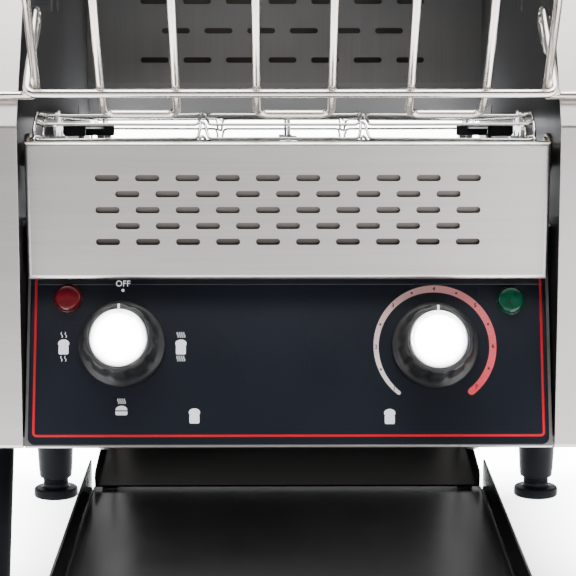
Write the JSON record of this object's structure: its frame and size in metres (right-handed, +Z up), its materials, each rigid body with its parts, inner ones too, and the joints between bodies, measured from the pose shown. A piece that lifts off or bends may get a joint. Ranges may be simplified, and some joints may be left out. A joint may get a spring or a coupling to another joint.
{
  "type": "conveyor toaster",
  "caption": "Countertop conveyor toaster: two steel side boxes, wire belt tunnel, leaning wire loading rack, sloped control panel, return slide and pull-out tray, on four legs.",
  "frame": {"origin": "centre of the bounding box's footprint, on the surface under the feet", "axes": "+X to the right for someone facing the control panel, +Y from the front to the back, +Z up"},
  "size_m": [0.3714, 0.4556, 0.385],
  "materials": {
    "stainless": "satin stainless sheet with a fine brushed grain",
    "inner_steel": "stainless sheet, dull inside the tunnel",
    "tray_steel": "smooth stainless sheet, mirror-like",
    "plated_steel": "zinc-plated steel",
    "chrome_wire": "bright chrome-plated wire",
    "belt_wire": "bright drawn stainless wire",
    "shaft_steel": "ground steel bar",
    "chain_steel": "oiled dark steel",
    "bronze": "sintered bronze",
    "rail_black": "black heat-resistant coating",
    "motor_case": "grey painted steel case",
    "quartz": "frosted quartz glass",
    "ceramic": "white unglazed steatite ceramic",
    "knob_black": "moulded black phenolic, semi-gloss",
    "spun_aluminium": "spun aluminium disc with a radial sheen",
    "switch_black": "moulded black phenolic",
    "board_green": "green circuit board with a control on it",
    "overlay": "glossy printed polyester sheet",
    "red_lens": "transparent red moulded lens",
    "green_lens": "transparent green moulded lens",
    "terminal_white": "white moulded plastic",
    "leg_black": "moulded black plastic"
  },
  "bodies": {
    "frame": {"left_side_cover": "stainless", "right_side_cover": "stainless", "left_inner_wall": "inner_steel", "right_inner_wall": "inner_steel", "top_cover": "stainless", "rear_panel": "inner_steel", "rear_cover": "stainless", "rear_crossbar": "plated_steel", "front_cover": "stainless", "control_panel": "stainless", "panel_overlay": "overlay", "control_box": "plated_steel", "toast_slide": "tray_steel", "slide_hangers": "plated_steel", "slide_studs": "plated_steel", "left_tray_guide": "plated_steel", "right_tray_guide": "plated_steel", "rack_pins": "plated_steel", "conveyor_belt": "belt_wire", "shaft_bushes": "bronze", "left_belt_rail": "rail_black", "right_belt_rail": "rail_black", "gear_motor": "motor_case", "motor_bracket": "plated_steel", "drive_chain": "chain_steel", "upper_quartz_tubes": "quartz", "lower_quartz_tubes": "quartz", "heater_ends": "ceramic", "upper_reflector": "plated_steel", "lower_reflector": "plated_steel", "selector_switch": "switch_black", "speed_control": "board_green", "red_lamp": "red_lens", "green_lamp": "green_lens", "terminal_block": "terminal_white", "cable_gland": "leg_black", "front_left_leg": "leg_black", "front_right_leg": "leg_black", "rear_left_leg": "leg_black", "rear_right_leg": "leg_black", "casing_screws": "plated_steel"},
    "tray": {"toast_tray": "tray_steel"},
    "rack": {"loading_rack": "chrome_wire"},
    "selector": {"selector_knob": "knob_black", "selector_knob_cap": "spun_aluminium", "selector_spindle": "shaft_steel"},
    "speed": {"speed_knob": "knob_black", "speed_knob_cap": "spun_aluminium", "speed_spindle": "shaft_steel"},
    "drive": {"drive_shaft": "shaft_steel", "drive_belt_sprockets": "plated_steel", "chain_wheel": "chain_steel"},
    "idler": {"idler_shaft": "shaft_steel", "idler_belt_sprockets": "plated_steel"},
    "motor_output": {"motor_shaft": "shaft_steel", "motor_pinion": "chain_steel"},
    "front_left_foot": {"front_left_foot": "leg_black"},
    "front_right_foot": {"front_right_foot": "leg_black"},
    "rear_left_foot": {"rear_left_foot": "leg_black"},
    "rear_right_foot": {"rear_right_foot": "leg_black"}
  },
  "joints": [
    {"name": "tray_slide", "type": "slide", "parent": "frame", "child": "tray", "axis": [0, -0.9992, -0.041], "range_m": [0, 0.07]},
    {"name": "rack_lift", "type": "hinge", "parent": "frame", "child": "rack", "pos_m": [-0.007, -0.07925, 0.3015], "axis": [-1, 0, 0], "range_deg": [0, 60]},
    {"name": "selector_turn", "type": "hinge", "parent": "frame", "child": "selector", "pos_m": [-0.0861, -0.1069, 0.14908], "axis": [0, 0.9511, -0.309], "range_deg": [0, 270]},
    {"name": "speed_turn", "type": "hinge", "parent": "frame", "child": "speed", "pos_m": [0.0623, -0.10715, 0.14832], "axis": [0, 0.9511, -0.309], "range_deg": [-140, 140]},
    {"name": "drive_spin", "type": "hinge", "parent": "frame", "child": "drive", "pos_m": [-0.007, 0.16036, 0.22407], "axis": [-1, 0, 0], "continuous": true},
    {"name": "idler_spin", "type": "hinge", "parent": "frame", "child": "idler", "pos_m": [-0.007, -0.08425, 0.2386], "axis": [-1, 0, 0], "continuous": true},
    {"name": "motor_spin", "type": "hinge", "parent": "frame", "child": "motor_output", "pos_m": [0.133, 0.09275, 0.16], "axis": [-1, 0, 0], "continuous": true},
    {"name": "front_left_foot_screw", "type": "slide", "parent": "frame", "child": "front_left_foot", "axis": [0, 0, -1], "range_m": [0, 0.008]},
    {"name": "front_right_foot_screw", "type": "slide", "parent": "frame", "child": "front_right_foot", "axis": [0, 0, -1], "range_m": [0, 0.008]},
    {"name": "rear_left_foot_screw", "type": "slide", "parent": "frame", "child": "rear_left_foot", "axis": [0, 0, -1], "range_m": [0, 0.008]},
    {"name": "rear_right_foot_screw", "type": "slide", "parent": "frame", "child": "rear_right_foot", "axis": [0, 0, -1], "range_m": [0, 0.008]}
  ],
  "couplings": [
    {"joint": "idler_spin", "follows": "drive_spin", "ratio": 1},
    {"joint": "motor_spin", "follows": "drive_spin", "ratio": 2}
  ]
}
